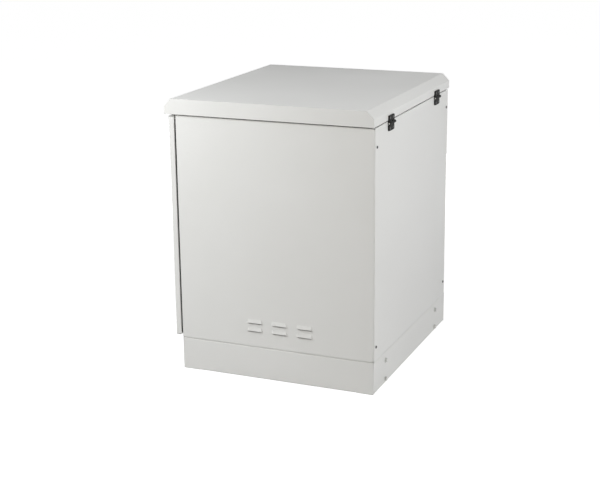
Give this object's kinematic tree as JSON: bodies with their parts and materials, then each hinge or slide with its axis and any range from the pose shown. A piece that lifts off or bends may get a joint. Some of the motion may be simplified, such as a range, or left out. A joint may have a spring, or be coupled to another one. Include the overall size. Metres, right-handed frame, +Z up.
{
  "type": "roadside utility cabinet",
  "caption": "Floor-standing outdoor cabinet of folded sheet steel with a hinged rain lid, a full-width locking door, louvred sides and a bolted plinth.",
  "frame": {"origin": "middle of the footprint on the ground, at the centre of the anchor holes", "axes": "+Z up, the door faces -Y, the lid hinges are on the rear at +Y, the side panels face +X and -X"},
  "size_m": [0.822, 0.7475, 0.9485],
  "materials": {
    "paint": "light grey powder coat, satin",
    "zinc_plate": "galvanised steel",
    "bolt_steel": "bright plated steel",
    "dark_steel": "black coated steel",
    "black_hinge": "black glass-filled polyamide",
    "seal": "black foam rubber",
    "earth_brass": "plain brass"
  },
  "bodies": {
    "cabinet": {"plinth_front": "paint", "plinth_rear": "paint", "plinth_left": "paint", "plinth_right": "paint", "anchor_angles": "zinc_plate", "plinth_bolts": "bolt_steel", "plinth_nuts": "bolt_steel", "floor_tray": "paint", "gland_plate": "zinc_plate", "gland_gasket": "seal", "gland_screws": "bolt_steel", "right_panel": "paint", "left_panel": "paint", "rear_panel": "paint", "rear_screws": "dark_steel", "right_jamb": "paint", "left_jamb": "paint", "door_header": "paint", "door_sill": "paint", "lid_gasket": "seal", "lid_hinge_lower_leaves": "black_hinge", "lid_hinge_pins": "bolt_steel", "lid_hinge_lower_screws": "dark_steel", "door_hinge_frame_halves": "dark_steel", "upper_mounting_rail": "zinc_plate", "lower_mounting_rail": "zinc_plate", "mounting_plate": "zinc_plate", "plate_bolts": "bolt_steel", "plate_nuts": "bolt_steel", "upper_equipment_rail": "zinc_plate", "lower_equipment_rail": "zinc_plate", "equipment_rail_screws": "bolt_steel", "earth_bar": "earth_brass", "earth_standoffs": "black_hinge", "earth_screws": "bolt_steel", "bolt_guides": "zinc_plate", "stay_socket": "zinc_plate"},
    "lid": {"lid_shell": "paint", "lid_stiffener": "paint", "lid_hinge_upper_leaves": "black_hinge", "lid_hinge_upper_screws": "dark_steel", "lid_keeper": "zinc_plate", "stay_bracket": "zinc_plate", "stay_clip": "black_hinge"},
    "door": {"door_panel": "paint", "door_gasket": "seal", "door_stiffener": "paint", "door_hinge_door_halves": "dark_steel", "lock_housings": "dark_steel", "lock_nuts": "bolt_steel"},
    "upper_lock": {"upper_lock_rotor": "bolt_steel", "upper_lock_cam": "zinc_plate", "upper_cam_screw": "bolt_steel"},
    "lower_lock": {"lower_lock_rotor": "bolt_steel", "lower_lock_cam": "zinc_plate", "lower_cam_screw": "bolt_steel"},
    "lid_stay": {"stay_rod": "bolt_steel"},
    "lid_bolt": {"bolt_rod": "bolt_steel"}
  },
  "joints": [
    {"name": "lid_hinge", "type": "hinge", "parent": "cabinet", "child": "lid", "pos_m": [0, 0.3555, 0.887], "axis": [-1, 0, 0], "range_deg": [0, 100]},
    {"name": "door_hinge", "type": "hinge", "parent": "cabinet", "child": "door", "pos_m": [-0.407, -0.353, 0.5], "axis": [0, 0, -1], "range_deg": [0, 120]},
    {"name": "upper_lock_turn", "type": "hinge", "parent": "door", "child": "upper_lock", "pos_m": [0.345, -0.376, 0.7], "axis": [0, 1, 0], "range_deg": [0, 90]},
    {"name": "lower_lock_turn", "type": "hinge", "parent": "door", "child": "lower_lock", "pos_m": [0.345, -0.376, 0.311], "axis": [0, 1, 0], "range_deg": [0, 90]},
    {"name": "lid_stay_swing", "type": "hinge", "parent": "lid", "child": "lid_stay", "pos_m": [0.33, 0.03, 0.9185], "axis": [1, 0, 0], "range_deg": [0, 148]},
    {"name": "lid_bolt_slide", "type": "slide", "parent": "cabinet", "child": "lid_bolt", "axis": [1, 0, 0], "range_m": [0, 0.016]}
  ]
}
